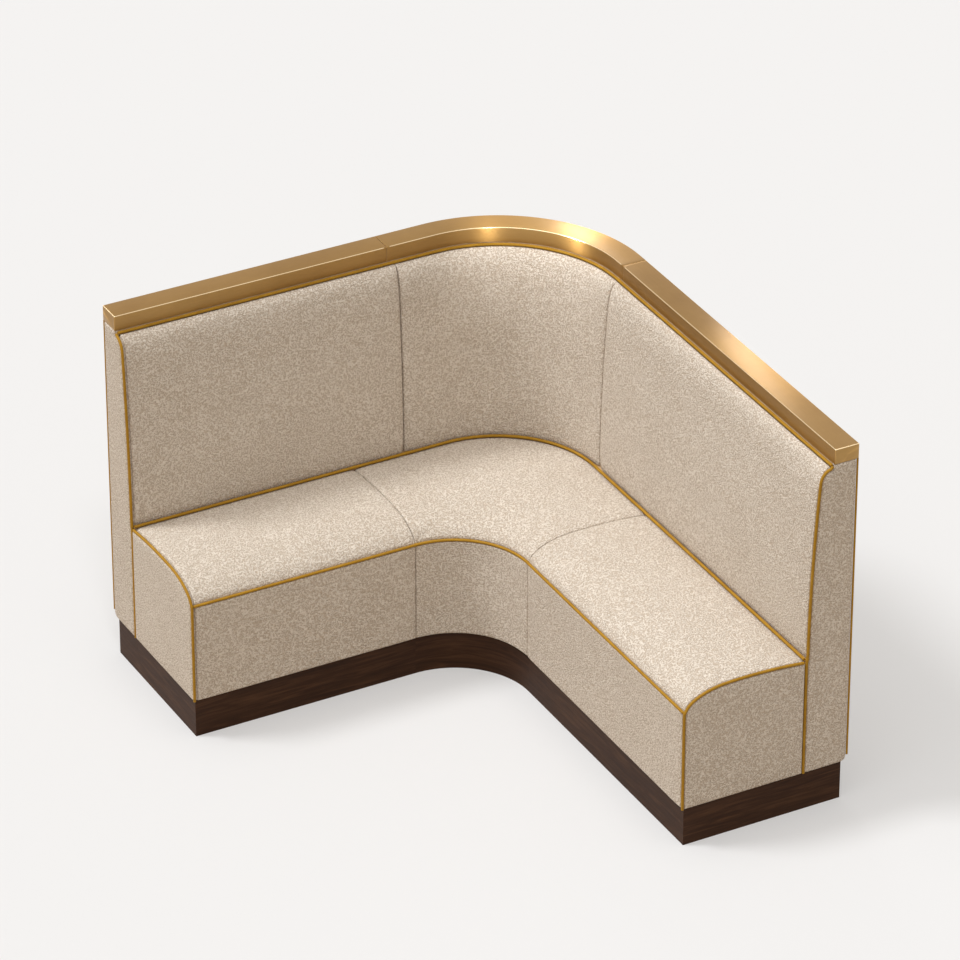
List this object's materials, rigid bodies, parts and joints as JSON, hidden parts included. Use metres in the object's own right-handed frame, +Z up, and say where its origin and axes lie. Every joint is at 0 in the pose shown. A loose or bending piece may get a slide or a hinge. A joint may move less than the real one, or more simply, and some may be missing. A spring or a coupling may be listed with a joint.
{
  "type": "upholstered banquette bench",
  "caption": "L-shaped corner banquette bench: piped fabric seat and high back on a recessed dark plinth, with a brass cap rail.",
  "frame": {"origin": "centre of the bounding box in plan, on the floor under the plinth", "axes": "+Z up; the left wing runs along X with its back towards +Y, the right wing along Y with its back towards +X"},
  "size_m": [1.4414, 1.6216, 1.12],
  "materials": {
    "fabric": "boucle",
    "piping": "smooth woven",
    "brass": "brushed",
    "walnut": "satin lacquer",
    "timber": "sawn",
    "plywood": "sanded",
    "steel": "zinc plated"
  },
  "bodies": {
    "root": {"plinth_front_left": "walnut", "plinth_front_corner": "walnut", "plinth_front_right": "walnut", "plinth_back_left": "walnut", "plinth_back_corner": "walnut", "plinth_back_right": "walnut", "plinth_end_left": "walnut", "plinth_end_right": "walnut", "plinth_cross_rails": "timber", "seat_frame_left": "timber", "seat_frame_corner": "timber", "seat_frame_right": "timber", "seat_deck_left": "plywood", "seat_deck_corner": "plywood", "seat_deck_right": "plywood", "seat_cushion_left": "fabric", "seat_cushion_corner": "fabric", "seat_cushion_right": "fabric", "fascia_left": "fabric", "fascia_corner": "fabric", "fascia_right": "fabric", "seat_end_left": "fabric", "seat_end_right": "fabric", "back_frame_left": "timber", "back_frame_corner": "timber", "back_frame_right": "timber", "back_board_left": "plywood", "back_board_corner": "plywood", "back_board_right": "plywood", "back_pad_left": "fabric", "back_pad_corner": "fabric", "back_pad_right": "fabric", "outside_back_left": "fabric", "outside_back_corner": "fabric", "outside_back_right": "fabric", "back_end_left": "fabric", "back_end_right": "fabric", "cap_core_left": "timber", "cap_core_corner": "timber", "cap_core_right": "timber", "cap_rail_left": "brass", "cap_rail_corner": "brass", "cap_rail_right": "brass", "cap_joint_plates": "brass", "cap_screws": "steel", "piping_under_rail": "piping", "piping_seat_back": "piping", "piping_seat_front": "piping", "piping_back_edge_left": "piping", "piping_back_edge_right": "piping", "piping_seat_edge_left": "piping", "piping_seat_edge_right": "piping", "piping_rear_edge_left": "piping", "piping_rear_edge_right": "piping", "frame_bolts": "steel", "frame_nuts": "steel"}
  },
  "joints": []
}
